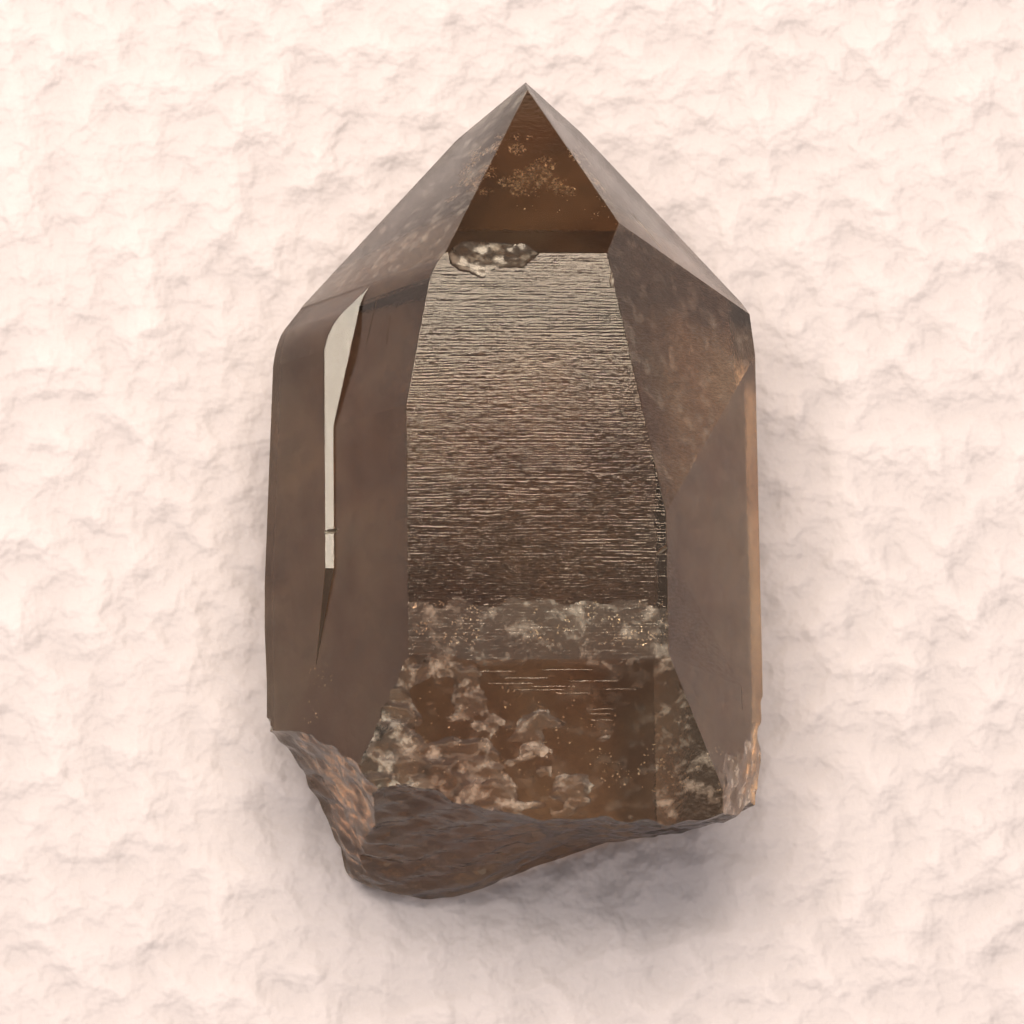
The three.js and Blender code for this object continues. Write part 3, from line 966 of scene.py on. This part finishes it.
def quartz_clearness(tree, place, look, frost):
    """Clear stone, less so in the flecks of the frosted faces."""
    flecks = remap(tree, noise(tree, place, "fleck"), FLECK_RANGE, FLECK_SHARE)
    frosted = calculate(tree, "MULTIPLY", frost, flecks, use_clamp=True)
    return mix(tree, frosted, look.clearness, look.frost_clearness, data_type="FLOAT")


def quartz_bump(tree, place, frost, lined, streaks):
    roughened = remap(tree, frost, target=GRAIN_STRENGTH)
    strength = calculate(tree, "MULTIPLY_ADD", lined, LINED_STRENGTH, roughened)
    on_lines = calculate(tree, "MULTIPLY", lined, streaks)
    grain = noise(tree, place, "grain")
    height = calculate(tree, "MULTIPLY_ADD", on_lines, STREAK_HEIGHT, grain)
    return bumped(tree, height, strength, GRAIN_HEIGHT)


def quartz_material(look):
    material, tree, sockets, place = new_material("smoky_quartz")
    frost, lined = face_value(tree, "frost"), face_value(tree, "lined")
    stretched = node(tree, "ShaderNodeMapping", {"Vector": place, "Scale": STREAK_STRETCH})
    streaks = noise(tree, stretched.outputs["Vector"], "streak")
    # Painted shade: streaks along the growth lines of the front face and the riser darken the base
    # colour, standing in for the shade of their grooves
    painted_line_shade = calculate(tree, "MULTIPLY", lined, remap(tree, streaks, PAINTED_LINE_SHADE_RANGE))
    feed(tree, sockets["IOR"], QUARTZ_IOR)
    feed(tree, sockets["Base Color"], quartz_colour(tree, place, look, painted_line_shade))
    feed(tree, sockets["Roughness"], quartz_roughness(tree, place, look, frost))
    feed(tree, sockets["Transmission Weight"], quartz_clearness(tree, place, look, frost))
    feed(tree, sockets["Normal"], quartz_bump(tree, place, frost, lined, streaks))
    inputs = {"Color": shaded(look.smoke), "Density": look.smoke_density}
    smoke = node(tree, "ShaderNodeVolumeAbsorption", inputs)
    feed(tree, tree.nodes["Material Output"].inputs["Volume"], smoke.outputs["Volume"])
    return material


def flake_material():
    material, tree, sockets, place = new_material("pale_flake")
    patch = noise(tree, place, "flake_patch")
    feed(tree, sockets["Metallic"], FLAKE_METAL)
    feed(tree, sockets["Base Color"], mix(tree, patch, GOLD_FLAKE, WHITE_FLAKE))
    feed(tree, sockets["Roughness"], remap(tree, patch, target=FLAKE_GLOSS))
    return material


def floor_material(stage):
    material, tree, sockets, place = new_material("pale_ground")
    blotch = noise(tree, place, "ground")
    dark, pale = shaded(stage.floor_colour, GROUND_DARK), shaded(stage.floor_colour, GROUND_PALE)
    feed(tree, sockets["Roughness"], GROUND_ROUGHNESS)
    feed(tree, sockets["Specular IOR Level"], GROUND_SPECULAR)
    feed(tree, sockets["Base Color"], mix(tree, blotch, dark, pale))
    feed(tree, sockets["Normal"], bumped(tree, blotch, GROUND_STRENGTH, GROUND_HEIGHT))
    return material


NADIR_COLOUR = (0.34, 0.26, 0.2, 1)
ZENITH_COLOUR = (0.9, 0.87, 0.85, 1)

# Window lights: width and height, place and colour; each faces the stone
LIGHTS = {
    "window": ((0.38, 0.28), (-0.03, 0.24, 0.537), (1.0, 0.86, 0.69)),
    "side_window": ((0.17, 0.09), (-0.225, 0.09, 0.45), (1.0, 0.91, 0.78)),
    "low_window": ((0.5, 0.12), (0.0, -0.45, 0.07), (1.0, 0.86, 0.72)),
}
LIGHT_AIM = Vector((0, 0, 0.01))

# The photograph's view: sensor and lens in millimetres, the directions right and up in the image,
# and the camera's place about the crystal's own axis, in millimetres
VIEW_SENSOR = 36.0
VIEW_LENS = 140.6
VIEW_RIGHT = Vector((0.99745, -0.01197, 0.07034))
VIEW_UP = Vector((0.00025, 0.98642, 0.16425))
VIEW_PLACE = Vector((-23.05, -84.89, 297.23))
VIEW_CLIP = (0.01, 5.0)
VIEW_GAMMA = 0.78

# How often light turns on its way through the scene
BOUNCES = {
    "max_bounces": 10,
    "diffuse_bounces": 2,
    "glossy_bounces": 5,
    "transmission_bounces": 9,
}


def sky(stage):
    """An all-round light that is brightest overhead and dimmer towards the horizon."""
    world = bpy.data.worlds.new("soft_sky")
    world.use_nodes = True
    tree = world.node_tree
    background = tree.nodes["Background"].inputs
    toward = node(tree, "ShaderNodeTexCoord").outputs["Generated"]
    split = node(tree, "ShaderNodeSeparateXYZ", {"Vector": toward})
    ramp = node(tree, "ShaderNodeValToRGB", {"Fac": split.outputs["Z"]})
    low, high = ramp.color_ramp.elements
    low.color, high.color = NADIR_COLOUR, ZENITH_COLOUR
    feed(tree, background["Strength"], stage.sky_strength)
    feed(tree, background["Color"], ramp.outputs["Color"])
    return world


def add_window(name, power):
    (width, height), place, tone = LIGHTS[name]
    light = bpy.data.lights.new(name, "AREA")
    light.shape = "RECTANGLE"
    light.size, light.size_y = width, height
    light.energy = power
    light.color = tone
    window = bpy.data.objects.new(name, light)
    bpy.context.scene.collection.objects.link(window)
    window.location = place
    window.rotation_euler = (LIGHT_AIM - window.location).to_track_quat("-Z", "Y").to_euler()


def add_camera(scene):
    view = bpy.data.cameras.new("photo_view")
    view.sensor_width = VIEW_SENSOR
    view.lens = VIEW_LENS
    view.clip_start, view.clip_end = VIEW_CLIP
    camera = bpy.data.objects.new("photo_view", view)
    scene.collection.objects.link(camera)
    back = VIEW_RIGHT.cross(VIEW_UP).normalized()
    camera.matrix_world = Matrix((VIEW_RIGHT, VIEW_UP, back)).transposed().to_4x4()
    camera.location = (VIEW_PLACE + place_in_frame()) * MM
    scene.camera = camera


def set_in_frame(mesh):
    """Moves a mesh made in millimetres about the crystal's axis to the part's frame."""
    mesh.transform(Matrix.Diagonal((MM, MM, MM, 1)) @ Matrix.Translation(place_in_frame()))


class QUARTZ_OT_build_crystal(bpy.types.Operator):
    """Build the crystal with its growth lines and broken base"""

    bl_idname = "quartz.build_crystal"
    bl_label = "Build Crystal"

    def execute(self, context):
        shape = context.scene.quartz_shape
        crystal = crystal_mesh(shape)
        mesh = crystal.data
        bm = bmesh.new()
        bm.from_mesh(mesh)
        bmesh.ops.dissolve_limit(bm, angle_limit=FLAT_ANGLE, verts=bm.verts[:], edges=bm.edges[:])
        for grid in LINED_FACES:
            line_face(bm, shape, **grid)
        marks = surface_marks(bm)
        shade_faces(bm, marks["frost"])
        bm.to_mesh(mesh)
        bm.free()
        for name, values in marks.items():
            layer = mesh.attributes.new(name, "FLOAT", "FACE")
            layer.data.foreach_set("value", values.astype(np.float32))
        set_in_frame(mesh)
        mesh.materials.clear()
        mesh.materials.append(quartz_material(context.scene.quartz_look))
        crystal.name = "crystal_stone"
        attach(crystal, "root")
        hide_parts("crystal")
        return {"FINISHED"}


class QUARTZ_OT_build_flakes(bpy.types.Operator):
    """Build the small flakes held inside the stone"""

    bl_idname = "quartz.build_flakes"
    bl_label = "Build Inner Flakes"

    def execute(self, context):
        flakes = flakes_mesh()
        set_in_frame(flakes.data)
        flakes.data.materials.append(flake_material())
        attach(flakes, "root")
        return {"FINISHED"}


class QUARTZ_OT_build_stage(bpy.types.Operator):
    """Build the ground, the lights and the camera"""

    bl_idname = "quartz.build_stage"
    bl_label = "Build Stage"

    def execute(self, context):
        scene = context.scene
        stage = scene.quartz_stage
        bm = bmesh.new()
        bmesh.ops.create_grid(bm, x_segments=1, y_segments=1, size=GROUND_HALF_SIZE)
        floor = object_from(bm, "ground")
        floor.location.z = -FLOOR_GAP
        floor.data.materials.append(floor_material(stage))
        scene.world = sky(stage)
        scene.view_settings.view_transform = "Standard"
        scene.view_settings.gamma = VIEW_GAMMA
        for kind, count in BOUNCES.items():
            setattr(scene.cycles, kind, count)
        add_window("window", stage.window_power)
        add_window("side_window", stage.side_power)
        add_window("low_window", stage.low_power)
        add_camera(scene)
        return {"FINISHED"}


class QUARTZ_PT_panel(bpy.types.Panel):
    bl_label = "Smoky Quartz"
    bl_idname = "QUARTZ_PT_panel"
    bl_space_type = "VIEW_3D"
    bl_region_type = "UI"
    bl_category = "Quartz"

    def draw(self, context):
        for button in BUILD_ORDER:
            self.layout.operator(button.bl_idname)


BUILD_ORDER = (QUARTZ_OT_build_crystal, QUARTZ_OT_build_flakes, QUARTZ_OT_build_stage)
CLASSES = (QuartzShape, QuartzLook, QuartzStage, *BUILD_ORDER, QUARTZ_PT_panel)
STARTUP_OBJECTS = ("Cube", "Light", "Camera")


def register():
    for cls in CLASSES:
        bpy.utils.register_class(cls)
    bpy.types.Scene.quartz_shape = PointerProperty(type=QuartzShape)
    bpy.types.Scene.quartz_look = PointerProperty(type=QuartzLook)
    bpy.types.Scene.quartz_stage = PointerProperty(type=QuartzStage)


def unregister():
    del bpy.types.Scene.quartz_stage
    del bpy.types.Scene.quartz_look
    del bpy.types.Scene.quartz_shape
    for cls in reversed(CLASSES):
        bpy.utils.unregister_class(cls)


def main():
    register()
    for name in STARTUP_OBJECTS:
        if name in bpy.data.objects:
            bpy.data.objects.remove(bpy.data.objects[name])
    bpy.ops.quartz.build_crystal()
    bpy.ops.quartz.build_flakes()
    bpy.ops.quartz.build_stage()


if __name__ == "__main__":
    main()
